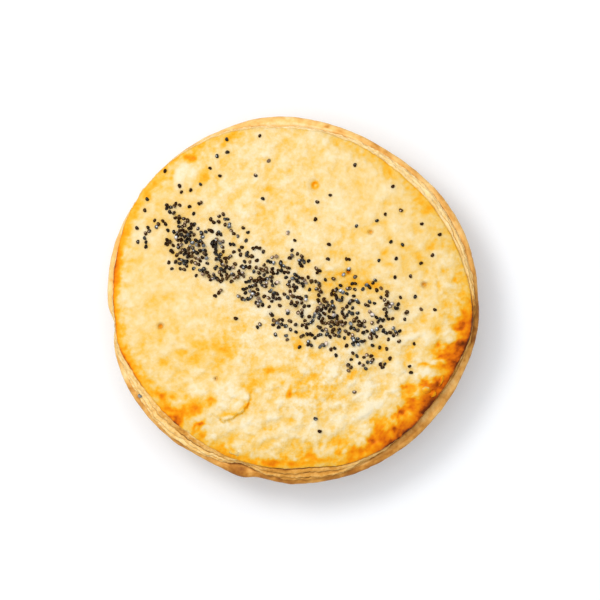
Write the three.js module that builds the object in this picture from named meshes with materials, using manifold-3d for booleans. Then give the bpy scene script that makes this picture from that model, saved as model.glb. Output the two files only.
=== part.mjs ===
// A single-serve round lamb pie: a filled shortcrust case with a flat rim, and a puff pastry lid
// that shrank off the rim as it baked, with poppy seeds strewn across it in one diagonal band.
// Millimetres, +Z up. The origin is the middle of the base, on the surface that the pie stands on.
import * as THREE from "three";
import { mergeVertices } from "three/addons/utils/BufferGeometryUtils.js";
import Module from "manifold-3d";

// Driving dimensions
const RIM_RADIUS = 55.1; // the rim before its dents
const BASE_RADIUS = 42; // where the wall meets the base
const CASE_HEIGHT = 28; // floor to the rim's upper face
const LID_RADIUS = 51.7; // the lid's browned top, on average
const LID_THICKNESS = 4.6;
const CROWN_HEIGHT = 3; // how far the filling lifts the middle above the rim
const SEED_LENGTH = 1.26; // an average poppy seed

// The case
const BASE_CORNER = 3.2; // radius of the edge under the wall
const WALL_LEAN_IN = 3.9; // how far the rim stands out past the top of the wall
const RIM_THICKNESS = 3.4;
const RIM_ROUND = 1.5; // how far the rim's edge rounds over
const RIM_OVALS_ABOVE = 10; // the wall takes on the rim's uneven outline over this height
const RIM_DENTS = [
  { at: 12, spread: 12, by: -0.4 },
  { at: 57, spread: 18, by: -2.85 },
  { at: 84, spread: 7, by: -0.6 },
  { at: 112, spread: 7, by: -0.5 },
  { at: 163, spread: 7, by: 0.5 },
  { at: 187, spread: 2.4, by: -1.15 },
  { at: 191, spread: 3, by: -0.7 },
  { at: 212, spread: 9, by: 0.6 },
  { at: 242, spread: 7, by: -0.75 },
  { at: 253.5, spread: 2.5, by: 0.5 },
  { at: 260, spread: 4.5, by: -1 },
  { at: 290, spread: 40, by: -0.4 },
  { at: 315, spread: 8, by: -0.2 },
  { at: 352, spread: 6, by: 0.4 },
];

// The lid: an offset oval, because puff pastry shrinks most along the way that it was rolled
const LID_GAP = 0.3; // between the lid and the case that it rests on
const LID_OFFSET = new THREE.Vector2(-1.2, 0.5);
const LID_OVAL = 2.1; // longer and shorter than the average radius by this much
const LID_LONG_AXIS = 153; // degrees
const LID_DENTS = [
  { at: 45, spread: 20, by: -0.75 },
  { at: 95, spread: 9, by: -0.6 },
  { at: 168, spread: 14, by: -1.2 },
  { at: 186, spread: 8, by: -0.3 },
  { at: 194, spread: 4, by: 0.7 },
  { at: 214, spread: 8, by: -0.3 },
  { at: 250, spread: 8, by: 0.4 },
  { at: 276, spread: 5, by: -0.7 },
  { at: 324, spread: 13, by: -1.4 },
  { at: 352, spread: 8, by: 1.1 },
];
const CROWN_POWER = 3; // a flat middle that turns down towards the edge
const LID_ROUND = 0.8; // how far the browned top rolls over at its edge
const LID_ROUND_SPAN = 0.12; // share of the radius that rolls over
const EDGE_LAYERS = 5; // stepped flakes that show round the cut edge
const EDGE_RAGGED = 0.32; // how unevenly each flake ends
const EDGE_FLARE = 1; // how far the lowest flake stands out past the top
const FLARE_CHANGES = [
  { at: 12, spread: 10, by: 0.9 },
  { at: 41, spread: 13, by: 1.5 },
  { at: 80, spread: 10, by: -0.3 },
  { at: 155, spread: 26, by: -1.3 },
  { at: 225, spread: 17, by: 2.8 },
  { at: 253, spread: 3, by: -1.3 },
  { at: 275, spread: 11, by: 2.8 },
  { at: 315, spread: 15, by: -1.2 },
  { at: 352, spread: 5, by: -0.6 },
];
const RAGGED_WAVES = [
  { turns: 9, share: 0.5, shift: 1.7 },
  { turns: 17, share: 0.3, shift: 4.1 },
  { turns: 31, share: 0.2, shift: 2.3 },
];

// Swellings of the lid's top where steam lifted it: centre, spread and height
const BLISTERS = [
  { x: -32, y: 37.5, spread: 4, height: 0.7 },
  { x: 43, y: -8, spread: 5, height: 0.8 },
  { x: 38, y: -25, spread: 5, height: 0.7 },
  { x: 26, y: -33, spread: 6, height: 0.7 },
  { x: -22, y: -29, spread: 6, height: 0.8 },
  { x: -4, y: -38, spread: 8, height: 0.6 },
  { x: -30, y: -12, spread: 9, height: 0.5 },
  { x: 8, y: -20, spread: 9, height: 0.5 },
  { x: 14, y: 14, spread: 10, height: 0.5 },
  { x: -12, y: 34, spread: 9, height: 0.4 },
  { x: 33, y: 22, spread: 8, height: 0.4 },
];

// Poppy seeds: where each pinch of them fell, how far it spread along and across the band, and
// what share of it stuck beside a seed that had already landed
const BAND_TURN = -29; // degrees
const PINCHES = [
  { x: -30.5, y: 16.4, along: 5.2, across: 4.4, count: 96, sticks: 0.2 },
  { x: -15, y: 10, along: 8, across: 4.6, count: 118, sticks: 0.2 },
  { x: 1, y: 0.6, along: 7, across: 4.8, count: 96, sticks: 0.2 },
  { x: 16, y: -7.5, along: 7.5, across: 4.8, count: 124, sticks: 0.2 },
  { x: 24, y: -7.6, along: 4, across: 3.4, count: 24, sticks: 0.2 },
  { x: 8.8, y: 7, along: 9, across: 2, count: 24, sticks: 0 },
  { x: -16.5, y: 19.5, along: 8, across: 3, count: 18, sticks: 0 },
  { x: 22, y: -18.1, along: 3.2, across: 1.3, count: 14, sticks: 0.2 },
  { x: -25, y: 7.2, along: 3, across: 1.5, count: 24, sticks: 0.3 },
  { x: 5.4, y: -9.6, along: 3.4, across: 1.5, count: 20, sticks: 0.3 },
  { x: -31.3, y: 20, along: 1.6, across: 1.8, count: 60, sticks: 0.4 },
  { x: -30.2, y: 14.8, along: 2, across: 1.8, count: 56, sticks: 0.4 },
  { x: -25.2, y: 15.3, along: 2, across: 2, count: 28, sticks: 0.4 },
  { x: -19.5, y: 8.3, along: 2, across: 1.6, count: 34, sticks: 0.4 },
  { x: -8.6, y: 5.6, along: 2, across: 3, count: 50, sticks: 0.4 },
  { x: -11.4, y: 0.4, along: 2.2, across: 1.2, count: 14, sticks: 0.3 },
  { x: 9.3, y: -3.7, along: 2, across: 3.4, count: 44, sticks: 0.4 },
  { x: 17, y: -8, along: 3, across: 2.2, count: 22, sticks: 0.4 },
  { x: 21, y: 4.2, along: 6.5, across: 2.6, count: 20, sticks: 0 },
  { x: -2, y: -0.2, along: 3.6, across: 2.4, count: 14, sticks: 0 },
  { x: -4.2, y: -6.2, along: 4.4, across: 1.2, count: 10, sticks: 0.2 },
  { x: 28.5, y: -3.5, along: 2.6, across: 3.6, count: 10, sticks: 0 },
  { x: 6, y: 9.4, along: 4.4, across: 1.4, count: 9, sticks: 0.2 },
  { x: 1.5, y: -9.8, along: 2.6, across: 1.2, count: 6, sticks: 0.2 },
];
// Seeds that fell clear of the band: x and y
const STRAYS = [
  [-19.6, 47.2], [-9.9, 48.2], [-22.4, 42.2], [-19.4, 43.3], [-7.3, 40.8], [-24.5, 38.6],
  [-21.6, 36.4], [-11.1, 36.5], [-27.3, 33.9], [-33.5, 33.4], [-30.2, 32.2], [-30.5, 27.3],
  [-9, 29.6], [7, 28.7], [10.8, 30.7], [6.4, 23.6], [18.1, 39.6], [29.2, 33.3], [31.6, 26.3],
  [24.5, 23.2], [18.5, 21.6], [27, 25.1], [37.7, 22.3], [43, 19.2], [28.6, 17], [32, 16.1],
  [30.1, 12.1], [40.8, 13.1], [37.5, 10.7], [10.4, 16.2], [10.1, 11.9], [16.3, 11.8], [-1.6, 19.6],
  [0.4, 17.4], [25.1, 11.5], [34.4, 6.9], [29.8, 6.6], [35.7, 0.9], [41.5, -2.9], [37.5, -2.8],
  [-43, 29.6], [-43.7, 26.3], [-46, 21.1], [-45.7, 17], [-43.4, 15.6], [17.9, -27.1], [6.5, -34.9],
  [7.7, -38.6], [34.5, -21.4], [-23, 1.1], [1.8, -13.9], [-43.7, 18.1], [-43.3, 16.9],
  [-42.8, 21.2], [-40.8, 23.3], [-39.7, 22.2], [-38.4, 23.1], [-37.3, 26.9], [-32.9, 31.6],
  [-37.8, 37.9],
];
const STUCK_REACH = 0.98; // distance between two that stick, in seed lengths
const SEED_CLEARANCE = 0.8; // nearest two middles, in seed lengths
const SEED_SIZE_SPREAD = 0.1;
const SEED_WIDTH = 0.84; // shares of a seed's length
const SEED_HEIGHT = 0.76;
const SEED_SUNK = 0.22; // share of a seed's height that is baked into the lid
const SEED_EDGE_MARGIN = 3; // no seed lies nearer to the lid's edge
const SEED_DRAW = 2145;
const MOST_SEEDS = 170; // the largest, as solids
const SOLID_SEED_SPACING = 1.5; // keeps the solid seeds from touching each other
const SEED_CORNER_UP = Math.atan2(2, 1 + Math.sqrt(5)); // turns a corner of an icosahedron up

// Faceting
const SEGMENTS = 96;
const CORNER_STEPS = 3;
const RIM_STEPS = 4;
const TOP_RINGS = [0.18, 0.34, 0.49, 0.63, 0.76, 0.86, 0.93, 0.975]; // shares of the lid's radius
const UNDER_LID_RINGS = [0.3, 0.56, 0.78];
const SEAT_RINGS = [0.3, 0.56, 0.78, 0.94];

const wasm = await Module();
wasm.setup();

// Sum of smooth bumps round the pie, each centred on an angle in degrees.
function lobes(angle, list) {
  const degrees = THREE.MathUtils.radToDeg(angle);
  return list.reduce((sum, lobe) => {
    const away = THREE.MathUtils.euclideanModulo(degrees - lobe.at + 180, 360) - 180;
    return sum + lobe.by * Math.exp(-0.5 * (away / lobe.spread) ** 2);
  }, 0);
}

function rimRadius(angle) {
  return RIM_RADIUS + lobes(angle, RIM_DENTS);
}

function lidRadius(angle) {
  const offset = LID_OFFSET.x * Math.cos(angle) + LID_OFFSET.y * Math.sin(angle);
  const longAxis = THREE.MathUtils.degToRad(LID_LONG_AXIS);
  const oval = LID_OVAL * Math.cos(2 * (angle - longAxis));
  return LID_RADIUS + offset + oval + lobes(angle, LID_DENTS);
}

function lidFlare(angle) {
  return Math.max(0, EDGE_FLARE + lobes(angle, FLARE_CHANGES));
}

// Height that the filling adds at a share of the way from the middle (0) to the edge (1).
function crown(share) {
  return CROWN_HEIGHT * (1 - Math.min(share, 1) ** CROWN_POWER);
}

function blisterHeight(x, y) {
  return BLISTERS.reduce((sum, blister) => {
    const away = Math.hypot(x - blister.x, y - blister.y) / blister.spread;
    return sum + blister.height * Math.exp(-0.5 * away * away);
  }, 0);
}

// The case's upper face, which the lid lies on: both use the lid's own outline for the crown.
function seatHeight(radius, angle) {
  return CASE_HEIGHT + crown(radius / lidRadius(angle));
}

function lidTopHeight(radius, angle) {
  const share = radius / lidRadius(angle);
  const overEdge = Math.max(0, share - (1 - LID_ROUND_SPAN)) / LID_ROUND_SPAN;
  const bumps = blisterHeight(radius * Math.cos(angle), radius * Math.sin(angle));
  return seatHeight(radius, angle) + LID_GAP + LID_THICKNESS + bumps - LID_ROUND * overEdge ** 2;
}

// A lathed solid whose every ring is then set to its own radius and height at each angle.
function unevenLathe(rings) {
  const profile = rings.map((ring) => new THREE.Vector2(ring.radius, ring.height));
  const geometry = new THREE.LatheGeometry(profile, SEGMENTS);
  geometry.rotateX(Math.PI / 2);
  const position = geometry.getAttribute("position");
  for (let i = 0; i < position.count; i += 1) {
    const ring = rings[i % rings.length];
    const angle = Math.atan2(position.getY(i), position.getX(i));
    const radius = ring.radius === 0 ? 0 : ring.radiusAt(angle);
    const height = ring.heightAt(angle, radius);
    position.setXYZ(i, radius * Math.cos(angle), radius * Math.sin(angle), height);
  }
  return geometry;
}

// A ring of the case below or at the rim, which grows uneven towards the rim.
function caseRing(radius, height) {
  const wallTop = CASE_HEIGHT - RIM_THICKNESS;
  const uneven = THREE.MathUtils.smoothstep(height, wallTop - RIM_OVALS_ABOVE, wallTop);
  return {
    radius,
    height,
    radiusAt: (angle) => radius * (1 + uneven * (rimRadius(angle) / RIM_RADIUS - 1)),
    heightAt: () => height,
  };
}

// A ring at a share of the lid's radius, at the height that a surface has there.
function lidRing(share, surface) {
  return {
    radius: share * LID_RADIUS,
    height: surface(share * LID_RADIUS, 0),
    radiusAt: (angle) => share * lidRadius(angle),
    heightAt: (angle, radius) => surface(radius, angle),
  };
}

function pastryCase() {
  const wallTop = CASE_HEIGHT - RIM_THICKNESS;
  const wallTopRadius = RIM_RADIUS - WALL_LEAN_IN;
  const rings = [caseRing(0, 0)];
  for (let i = 0; i <= CORNER_STEPS; i += 1) {
    const turn = (i / CORNER_STEPS) * (Math.PI / 2);
    const radius = BASE_RADIUS - BASE_CORNER * (1 - Math.sin(turn));
    rings.push(caseRing(radius, BASE_CORNER * (1 - Math.cos(turn))));
  }
  const wallMiddle = (BASE_RADIUS + wallTopRadius) / 2;
  rings.push(caseRing(wallMiddle, (BASE_CORNER + wallTop) / 2));
  rings.push(caseRing(wallTopRadius, wallTop));
  for (let i = 0; i <= RIM_STEPS; i += 1) {
    const turn = (i / RIM_STEPS - 0.5) * Math.PI;
    const radius = RIM_RADIUS - RIM_ROUND * (1 - Math.cos(turn));
    rings.push(caseRing(radius, wallTop + (RIM_THICKNESS * (1 + Math.sin(turn))) / 2));
  }
  for (const share of SEAT_RINGS.toReversed()) {
    rings.push(lidRing(share, seatHeight));
  }
  rings.push(lidRing(0, seatHeight));
  return unevenLathe(rings);
}

// How far one flake of the cut edge stands out or back from its neighbours.
function raggedness(angle, layer) {
  return RAGGED_WAVES.reduce((sum, wave) => {
    return sum + EDGE_RAGGED * wave.share * Math.sin(wave.turns * angle + wave.shift * (layer + 1));
  }, 0);
}

// The upper or lower edge of one flake, counted from the lowest.
function flakeRing(layer, upper) {
  const edgeHeight = LID_THICKNESS - LID_ROUND;
  const rise = LID_GAP + (edgeHeight * (layer + upper)) / EDGE_LAYERS;
  const standsOut = 1 - layer / (EDGE_LAYERS - 1);
  return {
    radius: LID_RADIUS + EDGE_FLARE * standsOut,
    height: CASE_HEIGHT + rise,
    radiusAt: (angle) => lidRadius(angle) + lidFlare(angle) * standsOut + raggedness(angle, layer),
    heightAt: () => CASE_HEIGHT + rise,
  };
}

function pastryLid() {
  const underside = (radius, angle) => seatHeight(radius, angle) + LID_GAP;
  const rings = [lidRing(0, underside)];
  for (const share of UNDER_LID_RINGS) {
    rings.push(lidRing(share, underside));
  }
  for (let layer = 0; layer < EDGE_LAYERS; layer += 1) {
    rings.push(flakeRing(layer, 0), flakeRing(layer, 1));
  }
  for (const share of TOP_RINGS.toReversed()) {
    rings.push(lidRing(share, lidTopHeight));
  }
  rings.push(lidRing(0, lidTopHeight));
  return unevenLathe(rings);
}

// A multiplicative generator, so that the seeds fall the same way each time.
function repeatableDraw(start) {
  const multiplier = 48271;
  const modulus = 2147483647;
  let state = start;
  return () => {
    state = (state * multiplier) % modulus;
    return state / modulus;
  };
}

// Every poppy seed on the lid, in the order in which it fell.
function strewnSeeds() {
  const draw = repeatableDraw(SEED_DRAW);
  const band = THREE.MathUtils.degToRad(BAND_TURN);
  const seeds = [];
  for (const pinch of PINCHES) {
    const firstOfPinch = seeds.length;
    for (let i = 0; i < pinch.count; i += 1) {
      const reach = Math.sqrt(-2 * Math.log(draw()));
      const heading = 2 * Math.PI * draw();
      const length = SEED_LENGTH * (1 + SEED_SIZE_SPREAD * (2 * draw() - 1));
      const turn = 2 * Math.PI * draw();
      const sticks = draw() < pinch.sticks;
      const beside = seeds[firstOfPinch + Math.floor(draw() * (seeds.length - firstOfPinch))];
      const along = reach * Math.cos(heading) * pinch.along;
      const across = reach * Math.sin(heading) * pinch.across;
      let x = pinch.x + along * Math.cos(band) - across * Math.sin(band);
      let y = pinch.y + along * Math.sin(band) + across * Math.cos(band);
      if (sticks && beside) {
        x = beside.x + STUCK_REACH * length * Math.cos(heading);
        y = beside.y + STUCK_REACH * length * Math.sin(heading);
      }
      const crowded = seeds.some((other) => {
        return Math.hypot(other.x - x, other.y - y) < SEED_CLEARANCE * length;
      });
      const onLid = Math.hypot(x, y) < lidRadius(Math.atan2(y, x)) - SEED_EDGE_MARGIN;
      if (onLid && !crowded) {
        seeds.push({ x, y, length, turn });
      }
    }
  }
  for (const [x, y] of STRAYS) {
    const length = SEED_LENGTH * (1 + SEED_SIZE_SPREAD * (2 * draw() - 1));
    seeds.push({ x, y, length, turn: 2 * Math.PI * draw() });
  }
  return seeds;
}

// The largest seeds that lie clear of each other.
function solidSeeds() {
  const chosen = [];
  for (const seed of strewnSeeds().sort((a, b) => b.length - a.length)) {
    const clear = chosen.every((other) => {
      return Math.hypot(other.x - seed.x, other.y - seed.y) > SOLID_SEED_SPACING;
    });
    if (clear && chosen.length < MOST_SEEDS) {
      chosen.push(seed);
    }
  }
  return chosen;
}

function seedGeometry(seed) {
  const geometry = new THREE.IcosahedronGeometry(seed.length / 2, 0);
  const height = seed.length * SEED_HEIGHT;
  const surface = lidTopHeight(Math.hypot(seed.x, seed.y), Math.atan2(seed.y, seed.x));
  geometry.rotateX(SEED_CORNER_UP);
  geometry.scale(1, SEED_WIDTH, SEED_HEIGHT);
  geometry.rotateZ(seed.turn);
  geometry.translate(seed.x, seed.y, surface + height * (0.5 - SEED_SUNK));
  return geometry;
}

// A closed geometry as a solid that can be joined to others.
function solidOf(geometry) {
  const bare = new THREE.BufferGeometry();
  bare.setAttribute("position", geometry.getAttribute("position"));
  bare.setIndex(geometry.getIndex());
  const merged = mergeVertices(bare);
  const vertProperties = merged.getAttribute("position").array;
  const triVerts = new Uint32Array(merged.getIndex().array);
  return new wasm.Manifold(new wasm.Mesh({ numProp: 3, vertProperties, triVerts }));
}

function geometryOf(solid) {
  const { vertProperties, triVerts } = solid.getMesh();
  const geometry = new THREE.BufferGeometry();
  geometry.setAttribute("position", new THREE.BufferAttribute(vertProperties, 3));
  geometry.setIndex(new THREE.BufferAttribute(triVerts, 1));
  geometry.computeVertexNormals();
  return geometry;
}

function seededLid() {
  const lid = solidOf(pastryLid());
  const seeds = solidSeeds().map((seed) => solidOf(seedGeometry(seed)));
  return geometryOf(seeds.reduce((whole, seed) => whole.add(seed), lid));
}

const shortcrust = new THREE.MeshStandardMaterial({ color: 0xd9a862, roughness: 0.75, metalness: 0 });
const puffPastry = new THREE.MeshStandardMaterial({ color: 0xf3cd85, roughness: 0.55, metalness: 0 });

const pie = new THREE.Group();
const caseMesh = new THREE.Mesh(pastryCase(), shortcrust);
caseMesh.name = "pastry_case";
const lidMesh = new THREE.Mesh(seededLid(), puffPastry);
lidMesh.name = "pastry_lid";
pie.add(caseMesh, lidMesh);

export default pie;
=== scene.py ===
import math

import bpy
import numpy as np
from mathutils import Matrix, Vector, noise


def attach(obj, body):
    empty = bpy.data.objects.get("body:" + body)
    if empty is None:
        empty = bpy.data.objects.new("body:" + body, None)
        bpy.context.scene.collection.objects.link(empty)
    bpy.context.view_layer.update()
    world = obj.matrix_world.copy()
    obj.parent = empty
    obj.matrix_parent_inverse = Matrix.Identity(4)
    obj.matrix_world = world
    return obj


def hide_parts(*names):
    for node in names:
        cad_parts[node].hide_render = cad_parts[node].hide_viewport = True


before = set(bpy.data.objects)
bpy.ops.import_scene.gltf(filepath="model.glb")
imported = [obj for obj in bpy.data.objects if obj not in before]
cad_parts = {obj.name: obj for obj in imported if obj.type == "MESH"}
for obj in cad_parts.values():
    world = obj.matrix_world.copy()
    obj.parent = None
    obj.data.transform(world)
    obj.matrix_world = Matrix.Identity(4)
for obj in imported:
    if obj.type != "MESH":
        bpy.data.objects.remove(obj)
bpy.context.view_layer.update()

MM = 0.001  # metres

# The case, as its solid has it
RIM_RADIUS = 55.1
BASE_RADIUS = 42
CASE_HEIGHT = 28
BASE_CORNER = 3.2
WALL_LEAN_IN = 3.9  # from the rim's edge to the top of the wall
RIM_THICKNESS = 3.4
RIM_ROUND = 1.5
RIM_OVALS_ABOVE = 10  # height over which the round wall takes on the rim's uneven outline
RIM_DENTS = [  # place and spread in degrees, size in millimetres
    (12, 12, -0.4),
    (57, 18, -2.85),
    (84, 7, -0.6),
    (112, 7, -0.5),
    (163, 7, 0.5),
    (187, 2.4, -1.15),
    (191, 3, -0.7),
    (212, 9, 0.6),
    (242, 7, -0.75),
    (253.5, 2.5, 0.5),
    (260, 4.5, -1),
    (290, 40, -0.4),
    (315, 8, -0.2),
    (352, 6, 0.4),
]

# The lid, as its solid has it
LID_RADIUS = 51.7
LID_THICKNESS = 4.6
LID_GAP = 0.3  # between the lid and the case
CROWN_HEIGHT = 3
CROWN_POWER = 3  # higher keeps the crown flatter in the middle
LID_OFFSET = (-1.2, 0.5)  # x, y from the middle of the case
LID_OVAL = 2.1  # longer by this along its long axis, and shorter across it
LID_LONG_AXIS = 153  # degrees
LID_DENTS = [  # place and spread in degrees, size in millimetres
    (45, 20, -0.75),
    (95, 9, -0.6),
    (168, 14, -1.2),
    (186, 8, -0.3),
    (194, 4, 0.7),
    (214, 8, -0.3),
    (250, 8, 0.4),
    (276, 5, -0.7),
    (324, 13, -1.4),
    (352, 8, 1.1),
]
LID_ROUND = 0.8  # drop of the rounded edge
LID_ROUND_SPAN = 0.12  # share of the radius over which it drops
EDGE_FLARE = 1  # how far the cut edge spreads out at its foot,
FLARE_CHANGES = [  # and where that changes: place and spread in degrees, size
    (12, 10, 0.9),
    (41, 13, 1.5),
    (80, 10, -0.3),
    (155, 26, -1.3),
    (225, 17, 2.8),
    (253, 3, -1.3),
    (275, 11, 2.8),
    (315, 15, -1.2),
    (352, 5, -0.6),
]
BLISTERS = [  # x, y, spread, height
    (-32, 37.5, 4, 0.7),
    (43, -8, 5, 0.8),
    (38, -25, 5, 0.7),
    (26, -33, 6, 0.7),
    (-22, -29, 6, 0.8),
    (-4, -38, 8, 0.6),
    (-30, -12, 9, 0.5),
    (8, -20, 9, 0.5),
    (14, 14, 10, 0.5),
    (-12, 34, 9, 0.4),
    (33, 22, 8, 0.4),
]

# Finer relief of the lid
LID_LUMPS = [  # width, height, and how much paler their tops are than the hollows between them
    (13, 0.36, 0.06),
    (5.5, 0.22, 0.11),
    (2.4, 0.14, 0.12),
    (1.2, 0.08, 0.1),
]
CREASE_WIDTH = 4.4
CREASE_STRETCH = 1.5  # a crease is this many times as long as it is wide
CREASE_HEADING = 24  # degrees
CREASE_HEIGHT = 0.32
CREASE_STEEP = 3.4  # how sharply a fold turns from hollow to crest
CREASE_OCTAVES = 5
CREASE_PALER = 0.12  # how much paler the crests are than the hollows
CREASED = 0.3  # share of the full creases that shows everywhere
CREASED_PLACES = [  # x, y, spread, share added
    (27, -29, 14, 1.1),
    (-6, -37, 12, 0.75),
    (43, -8, 9, 0.6),
    (-26, -29, 9, 0.5),
    (-8, 38, 14, 0.3),
]
DOCKING_HOLES = [  # x, y, radius of the browned lip round the hole, how far it browned, depth
    (6.4, 33.6, 0.8, 0.28, 1.5),
    (22.7, 19.8, 0.05, 0.2, 2.2),
    (16.2, 8.2, 0.1, 0.3, 2.6),
    (38.4, 4.4, 0.15, 0.26, 2.8),
    (-39, -7.8, 0.15, 0.2, 2.8),
    (-22.7, -23.2, 0, 0.28, 2.2),
]
DOCKING_LIP = 0.34  # how far the lip spreads
TORN_LEAVES = [  # x, y, radius, heading of the lifted edge in degrees, lift
    (-20.5, -26.4, 8, -62, 0.75),
    (-26.2, -39.3, 3, 130, 0.4),
]
TORN_OPENING = 75  # degrees to each side of the heading over which an edge is lifted,
TORN_FULL = 0.4  # and the share of them over which it is lifted in full
TORN_RAGGED = [(5, 0.26), (1.6, 0.14)]  # width of the lumps along the edge, and their share of its radius
TORN_LINE = 1.04  # where the line under a lifted edge lies, as a share of its radius
TORN_LINE_WIDTH = 0.4
TORN_PAINTED_SHADOW = 0.3  # how dark that line is painted, as the shadow under the lifted edge

# Leaves down the lid's cut edge
LEAVES = [  # share of the flare that each reaches, share of the edge's height, painted shade in the crease over it
    (0, 0.16, 0),
    (0.42, 0.3, 0.36),
    (0.8, 0.24, 0.14),
    (1, 0.16, 0.2),
    (0.94, 0.14, 0.1),
]
CURLED = {1: [(232, 13, 0.2)]}  # by leaf, where the browned skin curls over on to it
PAINTED_CRACK_SHADOWS = {1: [(207, 5, 0.3)], 2: [(236, 8, 0.45)]}  # by leaf, where the painted shadow of a dark crack runs over it
LEAF_RAGGED = [(9, 0.42), (2.6, 0.28), (1.1, 0.22)]  # width of lumps along the edge, how far they stand out
SKIN_RAGGED = 0.3  # share of that on the first leaf, which is the skin's own edge
EDGE_RAGGED = 0.5  # share of it on the skin as seen from above,
EDGE_RAGGED_POWER = 8  # where this keeps it to the edge
LEAF_GAP = 0.8  # deepest gap under a leaf
LEAF_GAP_WIDTH = 5
GAP_OPENS = (-0.3, 0.7)  # lumps at which a gap starts, and at which it is deepest
LEAF_WAVE = 0.45  # how far two leaves pinch or open, as a share of their thickness
LEAF_WAVE_WIDTH = 9
LEAF_APART = 4.7  # keeps the lumps of one leaf from following the next
LEAF_CREASE = 0.16  # width of the crease beside the leaf above, painted darker as shade
LEAST_FACE = 0.02  # least width of the face past it
FACE_RINGS = (0.25, 0.5, 0.75)  # shares of the way across that face
LEAF_DIP = 0.08  # shares of a leaf's thickness: how far its face starts below the leaf above,
LEAF_SLOPE = 0.22  # how far the face slopes down,
LEAF_EDGE = 0.3  # how far in from its two faces its edges lie,
CRUMBLED_SLOPE = 0.35  # and how much further it slopes where the leaves crumble together,
CRUMBLED_FULLY = 0.7  # in full where they are closed by this much
LEAF_NOSE = 0.05  # how far its upper edge stands out
LEAF_UNDER = 0.1  # how far its underside stands back
CRUMB_WIDTH = 1  # crumbs that show on a leaf
CRUMB_HEIGHT = 0.26
CRUMB_FLATTER = 0.6  # share of that height lost where the leaves stand apart
CRUMB_PALER = 0.22
LEAF_STREAK = 5  # where the leaves stand apart, the crumbs are this many times as long

# How far the lid is baked, from cream at 0 to dark brown at 1
LID_BAKE = 0.3
EDGE_BAKE = [  # place and spread in degrees, share added at the edge
    (334, 20, 0.46),
    (306, 12, 0.13),
    (288, 14, 0.17),
    (262, 12, 0.18),
    (236, 18, 0.18),
    (208, 12, 0.1),
    (188, 9, 0.12),
    (168, 13, 0.29),
    (138, 18, 0.22),
    (110, 12, 0.06),
    (40, 24, 0.13),
]
EDGE_BAKE_WIDTH = 2.2  # of the browned border,
EDGE_BAKE_WIDER = [  # and where that changes: place and spread in degrees, size
    (320, 22, 4.2),
    (285, 14, 0.6),
    (225, 11, 2),
    (130, 16, 1),
    (20, 30, 0.8),
]
EDGE_BAKE_RAGGED = (0.34, 0.24, 0.3)  # how far lumps of two sizes, and creases, move the browned border
BROWNED_FADES = (0.3, 1.6)  # in widths of that border, where it starts to fade and where it ends
BROWNED_EVENS = 1.2  # how far browning evens out the lumps' paler tops
BAKE_EASES = 0.78  # past this the skin browns ever more slowly,
BAKE_MORE = 0.16  # and by no more than this
SINGED = [  # where browning goes further at the very edge: place and spread in degrees, share added
    (301, 7, 0.19),
    (314, 8, 0.26),
    (330, 5, 0.06),
    (347, 8, 0.38),
    (202, 6, 0.2),
    (172, 8, 0.1),
]
SINGED_WIDTH = 1.5
EDGE_LINE = [  # the same, for a thin darker line along the edge: partly browning, partly painted shade where the skin overhangs the cut edge
    (172, 11, 0.15),
    (188, 8, 0.12),
    (206, 10, 0.2),
    (226, 10, 0.14),
    (40, 22, 0.16),
]
EDGE_LINE_WIDTH = 0.4
FINGER_WIDTH = 4.2  # round the edge, of the streaks that the browning breaks into
FINGER_LENGTH = 11  # inwards
FINGER_OCTAVES = 3
FINGER_VARIES = 0.6  # how far their reach varies,
FINGER_LEAST = 0.4  # and what a step inwards counts for in the longest
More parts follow.
